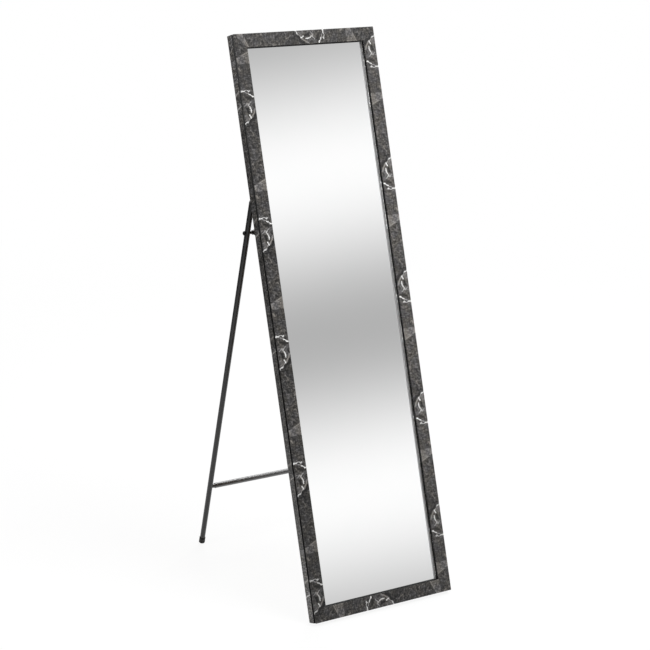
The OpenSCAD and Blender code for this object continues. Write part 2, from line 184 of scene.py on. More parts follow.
@dataclass(frozen=True)
class Value:
    """A node's output that a shader works out, so that shader maths reads as Python expressions."""

    sheet: "NodeSheet"
    socket: bpy.types.NodeSocket

    __add__ = operator("ADD")
    __radd__ = operator("ADD", flipped=True)
    __sub__ = operator("SUBTRACT")
    __rsub__ = operator("SUBTRACT", flipped=True)
    __mul__ = operator("MULTIPLY")
    __rmul__ = operator("MULTIPLY", flipped=True)
    __truediv__ = operator("DIVIDE")
    __pow__ = operator("POWER")
    __mod__ = operator("FLOORED_MODULO")
    above = operator("GREATER_THAN")
    at_least = operator("MAXIMUM")
    at_most = operator("MINIMUM")

    def __abs__(self) -> "Value":
        """Drops the sign."""
        return self.sheet.math("ABSOLUTE", self)

    def rise(self, start: float, end: float) -> "Value":
        """Returns a smooth step from 0 before start to 1 after end; it falls where end < start."""
        low, high, first, last = (start, end, 0.0, 1.0) if start < end else (end, start, 1.0, 0.0)
        inputs = {"Value": self, "From Min": low, "From Max": high, "To Min": first, "To Max": last}
        return self.sheet.node("MapRange", inputs, interpolation_type="SMOOTHSTEP")


Term = Union[Value, Number]


class NodeSheet:
    """The node tree of one finish, with short calls for the nodes that the finishes use."""

    def __init__(self, tree: bpy.types.NodeTree) -> None:
        """Takes the tree and empties it."""
        self.tree = tree
        tree.nodes.clear()

    def add(self, kind: str, inputs: dict[Any, Any], settings: dict[str, Any]) -> bpy.types.Node:
        """Adds one node and returns it.

        Args:
            kind: the node's type name, without the ShaderNode that most begin with.
            inputs: the value or Value of each input socket, by name or number.
            settings: the node's own settings; "stops" gives a ramp's stops as (place, colour) pairs.
        """
        node = self.tree.nodes.new(kind if kind.startswith("Node") else f"ShaderNode{kind}")
        for name, value in settings.items():
            if name == "stops":
                self._set_stops(node.color_ramp, value)
            else:
                setattr(node, name, value)
        for name, value in inputs.items():
            if isinstance(value, Value):
                self.tree.links.new(value.socket, node.inputs[name])
            else:
                node.inputs[name].default_value = value
        return node

    @staticmethod
    def _set_stops(ramp: bpy.types.ColorRamp, stops: Sequence[tuple[float, Sequence[float]]]) -> None:
        """Gives a ramp its stops, in rising order."""
        while len(ramp.elements) < len(stops):
            ramp.elements.new(1.0)
        for element, (place, colour) in zip(ramp.elements, stops):
            element.position = place
            element.color = colour

    def node(self, kind: str, inputs: dict[Any, Any], output: Any = 0, **settings: Any) -> Value:
        """Adds one node and returns one of its outputs, by name or number."""
        return Value(self, self.add(kind, inputs, settings).outputs[output])

    def end(self, kind: str, **inputs: Value) -> None:
        """Adds a node that has no outputs, which ends the tree."""
        self.add(kind, inputs, {})

    def math(self, operation: str, first: Term, second: Term = 0.0) -> Value:
        """Adds a Math node and returns its result."""
        return self.node("Math", {0: first, 1: second}, operation=operation)

    def vector(self, operation: str, inputs: dict[Any, Any], output: Any = 0) -> Value:
        """Adds a Vector Math node and returns its result: the vector, or the output of that name."""
        return self.node("VectorMath", inputs, output, operation=operation)

    def place(self, axes: Axes) -> Value:
        """Returns the position on the piece in millimetres of the given axes."""
        inputs = {
            "Vector": self.node("TexCoord", {}, "Object"),
            "Location": axes.origin,
            "Rotation": (axes.turn, 0.0, 0.0),
            "Scale": (MM, MM, MM),
        }
        return self.node("Mapping", inputs, vector_type="TEXTURE")

    def split(self, vector: Value) -> tuple[Value, ...]:
        """Returns the three numbers of a vector."""
        return tuple(self.node("SeparateXYZ", {0: vector}, axis) for axis in "XYZ")

    def join(self, first: Term, second: Term, third: Term = 0.0) -> Value:
        """Makes a vector from three numbers."""
        return self.node("CombineXYZ", {0: first, 1: second, 2: third})

    def stretch(self, vector: Value, scale: Sequence[float], shift: Sequence[float] = (0, 0, 0)) -> Value:
        """Scales a position along its three axes, then shifts it."""
        return self.vector("MULTIPLY_ADD", {0: vector, 1: tuple(scale), 2: tuple(shift)})

    def noise(self, vector: Value, scale: float, detail: float = 2.0, rough: float = 0.5) -> Value:
        """Returns cloud noise from 0 to 1, with the given number of features to a millimetre."""
        inputs = {"Vector": vector, "Scale": scale, "Detail": detail, "Roughness": rough}
        return self.node("TexNoise", inputs, noise_dimensions="3D")

    def cells(self, vector: Value, scale: float, feature: str = "F1") -> Value:
        """Returns the distance to the nearest point of a scatter of points."""
        inputs = {"Vector": vector, "Scale": scale}
        return self.node("TexVoronoi", inputs, "Distance", feature=feature)

    def blend(self, factor: Term, first: Any, second: Any) -> Value:
        """Mixes two colours by the factor."""
        return self.node("Mix", {0: factor, 6: first, 7: second}, 2, data_type="RGBA")

    def between(self, factor: Value, first: Term, second: Term) -> Value:
        """Mixes two numbers by the factor."""
        return self.node("Mix", {0: factor, 2: first, 3: second}, data_type="FLOAT")

    def shade(self, tone: Value, tint: Sequence[float]) -> Value:
        """Turns a display brightness from 0 to 255 into a colour with a slight tint."""
        bright = (tone / 255.0).at_least(0.0) ** DISPLAY_GAMMA
        return self.vector("SCALE", {0: tuple(tint), "Scale": bright})

    def bump(self, height: Value, strength: float, distance_mm: float) -> Value:
        """Returns the surface direction over small heights; the distance is that of a height of 1."""
        inputs = {"Height": height, "Strength": strength, "Distance": distance_mm * MM}
        return self.node("Bump", inputs)

    def surface(self, colour: Value, rough: Value, normal: Any = None, **settings: float) -> None:
        """Adds the surface shader and joins it to the output.

        Args:
            colour: its base colour.
            rough: its roughness.
            normal: the surface direction over its small heights, if it has any.
            settings: its metallic, sheen and index, where they aren't the shader's own.
        """
        names = {"metallic": "Metallic", "sheen": "Specular IOR Level", "index": "IOR"}
        inputs = {"Base Color": colour, "Roughness": rough}
        inputs.update({names[key]: value for key, value in settings.items()})
        if normal is not None:
            inputs["Normal"] = normal
        self.end("OutputMaterial", Surface=self.node("BsdfPrincipled", inputs))


@dataclass(frozen=True)
class Finish:
    """A surface finish that makes its own material; on_stand says whose axes it is laid in."""

    name: str = "finish"
    on_stand: bool = False

    def draw(self, sheet: NodeSheet) -> None:
        """Lays out the finish's nodes; each kind of finish has its own."""
        raise NotImplementedError

    def place(self, sheet: NodeSheet) -> Value:
        """Returns the position on the piece, in millimetres of its body's axes."""
        return sheet.place(LAYOUT.stand_axes if self.on_stand else LAYOUT.mirror_axes)

    def material(self) -> bpy.types.Material:
        """Returns the finish's material, which is made the first time it is asked for."""
        made = bpy.data.materials.get(self.name)
        if made is None:
            made = bpy.data.materials.new(self.name)
            made.use_nodes = True
            self.draw(NodeSheet(made.node_tree))
        return made

    def dress(self, *pieces: Piece) -> None:
        """Puts the finish in every material slot of the pieces."""
        for piece in pieces:
            if not piece.material_slots:
                piece.data.materials.append(None)
            for slot in piece.material_slots:
                slot.material = self.material()

    def dress_nodes(self, *names: str) -> None:
        """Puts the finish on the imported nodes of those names."""
        self.dress(*(frame["nodes"][name] for name in names))
        LOG.info("%s: %s", self.name, ", ".join(names))


@dataclass(frozen=True)
class Vein:
    """A line or a soft streak in the foil's print, in millimetres along the rail and across the foil.

    Points across the foil count from the outer front edge: below 0 is the outer wall, and past the
    width of the face is the inner wall.
    """

    points: tuple[tuple[float, float], ...]
    half_width: float
    tone: float
    strength: float = 1.0
    soft: float = 0.8


VEINS = tuple(Vein(*row) for row in (
    (((40, -2.5), (41.7, 0), (46.3, 7.5)), 1.2, 222, 1, 0.7),
    (((46.3, 7.5), (50.8, 12.5), (55, 17.6)), 1, 182, 0.9),
    (((47.6, 2), (51, 7.4), (56, 11.6)), 0.8, 132, 0.8, 1),
    (((54.3, 15.6), (60, 12.2)), 1.3, 235),
    (((56, 19), (60, 21.7), (65, 24.6), (69.5, 27.4), (73, 30.5)), 1.5, 148, 0.9, 1.2),
    (((65.5, 17.6), (71, 17.8)), 1.5, 240),
    (((71, 17.8), (76, 15.4), (80.6, 12.9)), 1, 226),
    (((83.5, 11.5), (81, 7.6), (79, 4.2)), 0.9, 176, 0.9),
    (((83, -2.5), (80, -10), (77, -18), (73, -26)), 1.3, 172, 0.95),
    (((80.6, 12.9), (84.6, 16.4), (87.5, 20.4)), 1.1, 182),
    (((87.5, 20.4), (90, 29)), 0.9, 116, 0.6, 1),
    (((109.6, -2.5), (110, 3), (110.6, 7.5)), 1.4, 238),
    (((110.6, 7.5), (112.2, 11), (110.2, 15.4), (109.2, 18.4)), 0.8, 205),
    (((109.2, 18), (109.3, 20.6)), 1.2, 228),
    (((107, 10.5), (105.6, 14), (103, 18.2)), 0.8, 176, 0.9),
    (((103, 18.2), (100.6, 22)), 1.4, 235),
    (((100.6, 22), (98.8, 25), (97.4, 28.4), (94, 36)), 1.1, 226),
    (((98.8, 25.2), (97.8, 27.4)), 1.7, 246),
    (((184, 13), (186.7, 17.5), (189.4, 23), (192.4, 30)), 1.2, 150, 0.85, 1),
    (((176.5, 12.6), (180.5, 13.4)), 1, 128, 0.7, 1.2),
    (((120, 13), (120.4, 28)), 1.2, 108, 0.6, 1.4),
    (((128.6, 8), (129, 29)), 1.2, 104, 0.6, 1.5),
    (((226.7, 3.5), (228.5, 12), (231, 20), (234.2, 28)), 0.8, 112, 0.7, 0.9),
    (((223, 13), (222.4, 20)), 1, 100, 0.6, 1.2),
    (((153.6, 5.6), (159.5, 0.5)), 1.5, 146, 0.8, 1.2),
    (((131, -7), (131.6, -19)), 1.2, 136, 0.7, 1.5),
    (((112, -6), (109, -14), (104, -25)), 1.5, 152, 0.8, 2),
    (((119, -6), (118, -26)), 1.4, 136, 0.7, 2),
))

PATCHES = tuple(Vein(*row) for row in (
    (((50, 4.5), (62, 5)), 2.4, 114, 0.8, 2),
    (((66, 11), (73, 9.5)), 2.8, 44, 0.9, 2),
    (((96.5, 11), (95.5, 16), (93.5, 23)), 1.9, 46, 0.85, 2),
    (((86, 4.5), (92, 8.5)), 1.8, 100, 0.6, 2.3),
    (((76, 20), (82.5, 21.5)), 1.8, 108, 0.65, 2),
    (((71.6, 21.5), (74, 23.5)), 1, 56, 0.7, 1.6),
    (((84.5, 25.5), (90, 27)), 1.5, 108, 0.6, 2),
    (((44, 12), (58, 25)), 2.5, 50, 0.75, 6),
    (((15, 26), (36, 26.5)), 2.5, 56, 0.6, 4),
    (((113.5, 14), (114.5, 22)), 1.2, 54, 0.6, 1.8),
    (((107.4, 9), (108.4, 13)), 0.7, 40, 0.8, 1),
    (((142, 10), (146, 21)), 2, 55, 0.65, 3.5),
    (((150.5, 16), (153, 20)), 1.4, 98, 0.55, 2.6),
    (((178, 0), (180.5, 6)), 2.4, 138, 0.75, 1.8),
    (((166, 10), (166, 16)), 1, 58, 0.6, 2.4),
    (((189, 5.5), (192.6, 3.8)), 1.2, 44, 0.8, 1.4),
    (((191.5, 12), (194.2, 8.6)), 0.9, 118, 0.75, 1.2),
    (((195.8, 14.8), (193.2, 20)), 1.3, 44, 0.8, 1.4),
    (((203.2, 12.6), (203.6, 14.6)), 1.2, 114, 0.7, 1.5),
    (((199.2, 17.4), (197.2, 22.6)), 1, 102, 0.7, 1.3),
    (((206, 17), (205, 22)), 1.4, 56, 0.6, 2),
    (((211, 21.5), (217, 22.5)), 1.8, 100, 0.5, 2.4),
    (((222.6, 6), (223.4, 9)), 1, 50, 0.7, 1.4),
    (((226.5, 17), (227, 22.5)), 1, 52, 0.7, 1.4),
    (((247.6, 8.6), (247.6, 10.6)), 1.2, 118, 0.7, 1.5),
    (((249, 17.6), (251.6, 18.2)), 1.2, 110, 0.7, 1.5),
    (((90, -8), (98, -24)), 3, 56, 0.6, 5),
))


@dataclass(frozen=True)
class MarbleFoil(Finish):
    """The marble-look foil that one rail is wrapped in, and the bare dark moulding under it.

    The print's repeat begins print_start before the start of the rail. The level is painted light and
    shade:
    it scales how bright the print's ground is on this rail, against the print's own tone.
    """

    rail: Rail = Rail.LEFT
    print_start: float = 0.0
    level: float = 1.0
    frame_width: float = 350.0
    frame_height: float = 1250.0
    face_width: float = 30.0
    rebate_start: float = 24.4
    sight_depth: float = 9.0
    rail_depth: float = 27.0
    groove_front: float = 1.5
    groove_back: float = 7.7
    foil_on_back: float = 4.0
    first_repeat: float = 269.0
    second_repeat: float = 250.0
    base_tone: float = 80.0
    contrast: float = 1.08
    cloud_swing: float = 40.0
    mottle_swing: float = 62.0
    streak_swing: float = 118.0
    fleck_swing: float = 134.0
    web_tone: float = 34.0
    web_mean: float = 2.0
    wedge_tone: float = 34.0
    # Painted light and shade along the rail and on its outer wall.
    wall_shade: float = 0.07
    end_wall_painted_light: float = 0.46
    end_shade: float = 0.12
    foot_shade: float = 0.07
    # Painted light on the lip wall inside the frame, and painted shade on the cap's inner side.
    short_lip_painted_light: float = -0.5
    low_lip_painted_light: float = 0.5
    lip_painted_light_rise: float = 0.75
    cap_shade: float = 0.9
    # Tones in the groove: its bare dark line, and painted light on that line and inside the frame.
    groove_tone: float = 22.0
    low_line_tone: float = 6.0
    line_painted_light_rise: float = 66.0
    painted_light_floor_tone: float = 120.0
    painted_light_cap_tone: float = 245.0
    core_tone: float = 26.0
    ragged_swing: float = 2.4
    mitre_tone: float = 14.0
    worn_tone: float = 150.0
    warm: tuple[float, float, float] = (1.07, 0.99, 0.9)
    cool: tuple[float, float, float] = (1.02, 0.985, 0.995)

    @property
    def upright(self) -> bool:
        """Whether this is one of the two long rails."""
        return self.rail in (Rail.LEFT, Rail.RIGHT)

    @property
    def rail_length(self) -> float:
        """Outer length of the rail."""
        return self.frame_height if self.upright else self.frame_width

    def rail_axes(self, sheet: NodeSheet) -> tuple[Value, Value, Value]:
        """Returns the distance along the rail, inward from its outer side, and back from its face."""
        across, depth, height = sheet.split(self.place(sheet))
        half = self.frame_width / 2
        if self.rail is Rail.LEFT:
            return height, across + half, depth
        if self.rail is Rail.RIGHT:
            return self.frame_height - height, half - across, depth
        if self.rail is Rail.TOP:
            return across + half, self.frame_height - height, depth
        return half - across, height, depth

    def print_place(self, sheet: NodeSheet, along: Value, inward: Value, depth: Value) -> Value:
        """Returns the place in the print, which is laid flat and repeats along the rail."""
        turn = inward.above(self.face_width / 2) * 2.0 - 1.0
        unrolled = inward + depth * turn
        both = (along + self.print_start) % (self.first_repeat + self.second_repeat)
        local = both - both.above(self.first_repeat) * self.first_repeat
        return sheet.join(local, unrolled)

    def near(self, sheet: NodeSheet, place: Value, vein: Vein) -> Value:
        """Returns how strongly a vein shows at a place of the print."""
        distance = None
        for start, end in zip(vein.points[:-1], vein.points[1:]):
            run = Vector((end[0] - start[0], end[1] - start[1], 0.0))
            offset = sheet.vector("SUBTRACT", {0: place, 1: (start[0], start[1], 0.0)})
            share = sheet.vector("DOT_PRODUCT", {0: offset, 1: run / run.length_squared}, "Value")
            reach = sheet.vector("SCALE", {0: run, "Scale": share.at_least(0.0).at_most(1.0)})
            gap = sheet.vector("DISTANCE", {0: offset, 1: reach}, "Value")
            distance = gap if distance is None else distance.at_most(gap)
        return distance.rise(vein.half_width + vein.soft, vein.half_width - vein.soft) * vein.strength

    def print_group(self) -> bpy.types.NodeTree:
        """Returns the group of nodes that draws the print, which all rails share and is made once."""
        group = bpy.data.node_groups.get("marble_print")
        if group is None:
            group = bpy.data.node_groups.new("marble_print", "ShaderNodeTree")
            group.interface.new_socket("Place", in_out="INPUT", socket_type="NodeSocketVector")
            group.interface.new_socket("Tone", in_out="OUTPUT", socket_type="NodeSocketFloat")
            sheet = NodeSheet(group)
            place = sheet.node("NodeGroupInput", {}, "Place")
            sheet.end("NodeGroupOutput", Tone=self.print_tone(sheet, place))
        return group

    def print_tone(self, sheet: NodeSheet, flat: Value) -> Value:
        """Returns the brightness of the print, on the scale of 0 to 255, at a place of the flat foil."""
        waves = {"Vector": flat, "Scale": 0.22, "Detail": 4.0, "Roughness": 0.6}
        wander = sheet.node("TexNoise", waves, "Color")
        shift = sheet.stretch(wander, (8.0, 6.0, 0.0), (-4.0, -3.0, 0.0))
        bent = sheet.vector("ADD", {0: flat, 1: shift})
        along, across, _ = sheet.split(bent)
        clouds = sheet.noise(flat, 0.05, 3.0, 0.6)
        streaks = sheet.noise(sheet.stretch(flat, (1.0, 0.5, 1.0)), 0.32, 3.0, 0.62)
        flecks = sheet.noise(flat, 0.21, 5.0, 0.66)
        mottle = sheet.noise(flat, 0.12, 2.0, 0.5)
        webs = sheet.cells(bent, 0.055, "DISTANCE_TO_EDGE").rise(0.05, 0.012) * flecks.rise(0.42, 0.56)
        grain = (streaks - 0.5) * self.streak_swing + (flecks - 0.5) * self.fleck_swing
        grain = grain * (across.rise(0.0, -2.0) * 0.4 + 1.0)
        ground = (clouds - 0.5) * self.cloud_swing + (mottle - 0.5) * self.mottle_swing
        tone = self.base_tone - self.web_mean + ground + grain + webs * self.web_tone
        inside = along - (39.0 + across * 0.75 + across * across * 0.012)
        tone = tone - inside.rise(-30.0, -4.0) * inside.rise(0.4, -0.6) * 18.0
        tone = tone + inside.rise(-0.6, 1.6) * along.rise(99.0, 85.0) * 8.0
        wedge_start = (along - (169.0 - across * 0.05)).rise(-3.0, 3.0)
        wedge_end = (180.0 + across * 0.42 - along).rise(-0.8, 0.8)
        tone = tone + wedge_start * wedge_end * (0.35 + streaks) * self.wedge_tone
        for vein in PATCHES:
            tone = sheet.between(self.near(sheet, bent, vein), tone, vein.tone + grain * 0.5)
        breaks = sheet.noise(flat, 0.34, 3.0).rise(0.30, 0.50) * 0.25 + 0.75
        for vein in VEINS:
            tone = sheet.between(self.near(sheet, bent, vein) * breaks, tone, vein.tone)
        return tone

    def draw(self, sheet: NodeSheet) -> None:
        """Lays out the foil's print, bare parts, worn edges and gloss, with painted light and shade in
        its tone.
        """
        along, inward, depth = self.rail_axes(sheet)
        flat = self.print_place(sheet, along, inward, depth)
        place = sheet.join(along, inward, depth)
        tone = sheet.node("Group", {"Place": flat}, node_tree=self.print_group())
        tone = (tone - self.base_tone) * self.contrast + self.base_tone * self.level
        wall = inward.rise(0.3, 0.0) * depth.above(self.groove_front)
        ends = 1.0
        lip_painted_light = self.short_lip_painted_light
        outer_line = self.groove_tone
        pale = 0.0
        if self.upright:
            # Painted shade: the long rails darker towards both ends and towards the floor.
            ends = 1.0 - along.rise(50.0, 350.0) * along.rise(1210.0, 960.0)
            raised = along if self.rail is Rail.LEFT else self.frame_height - along
            tone = tone * (1.0 - raised.rise(480.0, 200.0) * self.foot_shade)
            lip_painted_light = raised.rise(250.0, 900.0) * self.lip_painted_light_rise + self.low_lip_painted_light
            # Painted light: the dark line of the outer groove lighter towards the top.
            outer_line = raised.rise(400.0, 1250.0) * self.line_painted_light_rise + self.low_line_tone
            # Painted light in the inner groove: the front of its floor and the cap's underside painted
            # pale, which the glass reflects as a light strip.
            painted_light_under_cap = depth.rise(1.7, 1.6) * (self.painted_light_cap_tone - self.painted_light_floor_tone)
            pale = depth.rise(4.8, 4.4) * (painted_light_under_cap + self.painted_light_floor_tone)
        # Painted light and shade: the outer wall darker than the face mid-rail and lighter towards the
        # ends, the face darker towards the ends; short rails count as ends all along.
        wall_light = wall * (ends * self.end_wall_painted_light - self.wall_shade)
        tone = tone * (wall_light - ends * self.end_shade + 1.0)
        warmth = sheet.noise(flat, 0.055, 2.0).rise(0.38, 0.62)
        inner = inward.above(self.face_width / 2)
        lip = inner * depth.above(self.groove_back)
        shaded = inner * depth.rise(0.0, 0.22) * (1.0 - lip)
        # Painted light on the lip wall of the long rails, more towards the top; painted shade on it on
        # the short rails, and on the cap's inner side.
        tone = tone * (lip * lip_painted_light + 1.0) * (1.0 - shaded * self.cap_shade)
        colour = sheet.blend(warmth, sheet.shade(tone, self.cool), sheet.shade(tone, self.warm))
        colour = sheet.blend(tone.rise(120.0, 170.0), colour, sheet.shade(tone, (1.0, 1.0, 0.99)))

        groove = depth.rise(self.groove_front - 0.08, self.groove_front - 0.04)
        groove = groove * depth.rise(self.groove_back + 0.08, self.groove_back + 0.04)
        # The groove's tone: painted light inside the frame; outside, the dark line with its painted
        # light.
        pale = inner * pale + (1.0 - inner) * outer_line
        ragged = (sheet.noise(place, 0.25, 3.0) - 0.5) * self.ragged_swing + self.foil_on_back
        back = depth.above(self.rail_depth - 0.1) * (inward - ragged).rise(-0.1, 0.1)
        rebate = inward.above(self.rebate_start) * depth.above(self.sight_depth + 0.2)
        bare = groove.at_least(back).at_least(rebate)
        drawn = sheet.noise(sheet.stretch(place, (0.02, 1.0, 1.0)), 2.2, 2.0)
        pores = sheet.cells(place, 0.9).rise(0.12, 0.3)
        bare_tone = self.core_tone + drawn * 16.0 + pores * 8.0
        bare_tone = sheet.between(groove, bare_tone, pale + drawn * 8.0)
        colour = sheet.blend(bare, colour, sheet.shade(bare_tone, (1.0, 1.0, 1.0)))

        mitre = abs(along.at_most(self.rail_length - along) - inward).rise(0.34, 0.12)
        colour = sheet.blend(mitre * (1.0 - bare) * 0.85, colour, grey(self.mitre_tone))
        rub = sheet.noise(place, 0.4, 4.0, 0.6).rise(0.45, 0.75)
        corner = (inward + depth).rise(0.75, 0.30)
        colour = sheet.blend(corner * rub * 0.35, colour, grey(self.worn_tone))

        grain = sheet.noise(place, 2.4, 3.0, 0.6)
        smears = sheet.noise(place, 0.05, 3.0)
        rough = 0.36 + grain * 0.10 + smears * 0.10 + bare * 0.4
        height = grain * 0.5 + sheet.noise(place, 0.3, 2.0) * 0.5
        sheet.surface(colour, rough, sheet.bump(height - mitre * 2.0, 0.25, 0.06), sheen=0.3, index=1.45)


FOILS = (
    # Each rail's level is painted light and shade on the same print.
    MarbleFoil("marble_foil_left", rail=Rail.LEFT, print_start=288.0, level=0.77),
    MarbleFoil("marble_foil_right", rail=Rail.RIGHT, print_start=22.0, level=0.96),
    MarbleFoil("marble_foil_top", rail=Rail.TOP, print_start=159.0, level=0.86),
    MarbleFoil("marble_foil_bottom", rail=Rail.BOTTOM, print_start=409.0, level=0.77),
)


@dataclass(frozen=True)
class SilveredGlass(Finish):
    """Float glass with a silver coat, seen as a clean mirror with a trace of dust."""

    name: str = "silvered_glass"
    silver: Colour = (0.975, 0.975, 0.975, 1.0)
    hazy_silver: Colour = (0.955, 0.965, 0.962, 1.0)

    def draw(self, sheet: NodeSheet) -> None:
        """Lays out an almost even silver with a faint haze and a trace of dust."""
        place = self.place(sheet)
        haze = sheet.noise(place, 0.012, 3.0, 0.6)
        colour = sheet.blend(haze.rise(0.35, 0.8) * 0.5, self.silver, self.hazy_silver)
        dust = sheet.noise(place, 0.5, 4.0, 0.7).rise(0.62, 0.8)
        sheet.surface(colour, dust * 0.006 + 0.004, metallic=1.0)


@dataclass(frozen=True)
class Fibreboard(Finish):
    """Thin hard fibreboard with pressed fibres and darker flecks."""

    name: str = "bare_fibreboard"

    def draw(self, sheet: NodeSheet) -> None:
        """Lays out the pressed fibres, their cloudy browns and the flecks."""
        place = self.place(sheet)
        clouds = sheet.noise(place, 0.012, 4.0, 0.6)
        fibres = sheet.noise(sheet.stretch(place, (1.0, 1.0, 0.16)), 1.3, 4.0, 0.7)
        crossed = sheet.noise(sheet.stretch(place, (0.16, 1.0, 1.0), (7.0, 3.0, 1.0)), 1.1, 4.0, 0.7)
        flecks = sheet.cells(place, 0.33).rise(0.30, 0.06) * sheet.noise(place, 0.1, 2.0).rise(0.45, 0.7)
        mix = clouds * 0.3 + fibres * 0.35 + crossed * 0.35
        browns = ((0.30, paint(104, 76, 50)), (0.5, paint(139, 105, 72)), (0.72, paint(168, 134, 98)))
        colour = sheet.node("ValToRGB", {"Fac": mix}, stops=browns)
        colour = sheet.blend(flecks * 0.6, colour, paint(74, 52, 34))
        sheet.surface(colour, 0.62 + mix * 0.25, sheet.bump(fibres + crossed, 0.35, 0.12), index=1.4)


@dataclass(frozen=True)
class ZincSteel(Finish):
    """Zinc plated sheet steel with drawn lines and a faint blue cast."""

    name: str = "zinc_plate"

    def draw(self, sheet: NodeSheet) -> None:
        """Lays out the plating's cloudy spangle and its fine lines."""
        place = self.place(sheet)
        clouds = sheet.noise(place, 0.5, 3.0, 0.6)
        lines = sheet.noise(sheet.stretch(place, (1.0, 1.0, 0.05)), 6.0, 2.0)
        colour = sheet.blend(clouds.rise(0.3, 0.7), paint(168, 172, 178), paint(206, 207, 206))
        rough = 0.28 + clouds * 0.16 + lines * 0.12
        sheet.surface(colour, rough, sheet.bump(lines, 0.2, 0.03), metallic=1.0)


@dataclass(frozen=True)
class PowderCoat(Finish):
    """Black powder coat, with the fine orange peel of the baked powder and a little wear."""

    name: str = "black_powder_coat"
    tone: float = 36.0
    gloss: float = 0.42
    peel_scale: float = 1.5
    peel_depth: float = 0.05
    sheen: float = 0.4

    def draw(self, sheet: NodeSheet) -> None:
        """Lays out the coat's peel, its cloudy gloss, its dust and its small knocks."""
        place = self.place(sheet)
        peel = sheet.noise(place, self.peel_scale, 2.0, 0.5)
        clouds = sheet.noise(place, 0.05, 4.0, 0.6)
        dust = sheet.noise(place, 0.6, 5.0, 0.7).rise(0.5, 0.8)
        knocks = sheet.cells(place, 0.12).rise(0.05, 0.02)
        tone = self.tone + (clouds - 0.5) * 8.0 + dust * 4.0 + (peel - 0.5) * 3.0 + knocks * 14.0
        rough = self.gloss + (clouds - 0.5) * 0.10 + dust * 0.06
        bumps = sheet.bump(peel, 0.25, self.peel_depth)
        sheet.surface(sheet.shade(tone, (1.0, 1.0, 1.01)), rough, bumps, sheen=self.sheen, index=1.5)


@dataclass(frozen=True)
class BlackOxide(Finish):
    """Blackened steel of screws, bolts and nuts, rubbed brighter on its high places."""

    name: str = "black_oxide_steel"

    def draw(self, sheet: NodeSheet) -> None:
        """Lays out the blackened metal with its rubbed places and fine lines."""
        place = self.place(sheet)
        rub = sheet.noise(place, 0.8, 4.0, 0.65)
        lines = sheet.noise(sheet.stretch(place, (0.2, 1.0, 1.0)), 5.0, 2.0)
        tone = 38.0 + (rub - 0.5) * 34.0 + (lines - 0.5) * 16.0
        colour = sheet.shade(tone, (1.0, 1.0, 1.03))
        sheet.surface(colour, 0.34 + rub * 0.2, sheet.bump(lines, 0.2, 0.02), metallic=0.85)


@dataclass(frozen=True)
class MouldedPart(Finish):
    """Moulded black plastic or rubber, with a fine spark-eroded grain and a mould line."""

    name: str = "moulded_black"
    on_stand: bool = True
    tone: float = 34.0
    rough: float = 0.5
    grain_scale: float = 3.0
    grain_depth: float = 0.05
    sheen: float = 0.5
    # A lighter band of painted light round a foot's waist.
    waist_painted_light: float = 0.0

    def draw(self, sheet: NodeSheet) -> None:
        """Lays out the mould's grain, its bloom, and a band of painted light round a foot's waist if
        given.
        """
        place = self.place(sheet)
        grain = sheet.noise(place, self.grain_scale, 3.0, 0.6)
        bloom = sheet.noise(place, 0.12, 4.0, 0.6)
        _, depth, height = sheet.split(place)
        line = abs(depth).rise(0.22, 0.08)
        tone = self.tone + (bloom - 0.4) * 16.0 + (grain - 0.5) * 7.0 + line * 5.0
        # Painted light: a lighter band round the waist of the foot.
        if self.waist_painted_light:
            foot = height + LAYOUT.foot_reach / MM
            tone = tone + foot.rise(1.8, 3.2) * foot.rise(10.6, 9.2) * self.waist_painted_light
        rough = self.rough + (bloom - 0.5) * 0.2 + grain * 0.06
        bumps = sheet.bump(grain * 0.7 + line, 0.4, self.grain_depth)
        sheet.surface(sheet.shade(tone, (1.0, 1.0, 0.99)), rough, bumps, sheen=self.sheen, index=1.48)


class Turning:
    """A part turned as on a lathe, in millimetres: a ring that is drawn out along the z axis."""

    def __init__(self, name: str, radius: float, height: float = 0.0) -> None:
        """Adds the first ring and leaves it selected in edit mode."""
        origin = (0.0, 0.0, 0.0)
        bpy.ops.mesh.primitive_circle_add(vertices=TURNED_SIDES, radius=radius * MM, location=origin)
        self.piece = bpy.context.object
        self.piece.name = name
        self.radius = radius
        self.height = height
        bpy.ops.object.mode_set(mode="EDIT")
        bpy.ops.mesh.select_all(action="SELECT")
        bpy.ops.transform.translate(value=(0.0, 0.0, height * MM))

    def draw(self, *rings: tuple[float, float]) -> "Turning":
        """Draws the ring out through more rings, each given by its radius and height."""
        for radius, height in rings:
            rise = {"value": (0.0, 0.0, (height - self.height) * MM)}
            bpy.ops.mesh.extrude_region_move(TRANSFORM_OT_translate=rise)
            ratio = radius / self.radius
            middle = (0.0, 0.0, height * MM)
            bpy.ops.transform.resize(value=(ratio, ratio, 1.0), center_override=middle)
            self.radius = radius
            self.height = height
        return self

    def finish(self) -> Piece:
        """Closes the ends, turns the faces outwards and shades the curves smooth."""
        bpy.ops.mesh.select_all(action="SELECT")
        bpy.ops.mesh.remove_doubles(threshold=1e-7)
        bpy.ops.mesh.fill_holes(sides=0)
        bpy.ops.mesh.normals_make_consistent(inside=False)
        bpy.ops.object.mode_set(mode="OBJECT")
        smooth(self.piece)
        return self.piece


def pick(piece: Piece) -> None:
    """Makes a part the only selected one and the active one."""
    bpy.ops.object.select_all(action="DESELECT")
    piece.select_set(True)
    bpy.context.view_layer.objects.active = piece


def smooth(piece: Piece) -> None:
    """Shades a part smooth where its faces meet at a blunt angle."""
    pick(piece)
    bpy.ops.object.shade_smooth_by_angle(angle=SMOOTH_ANGLE)


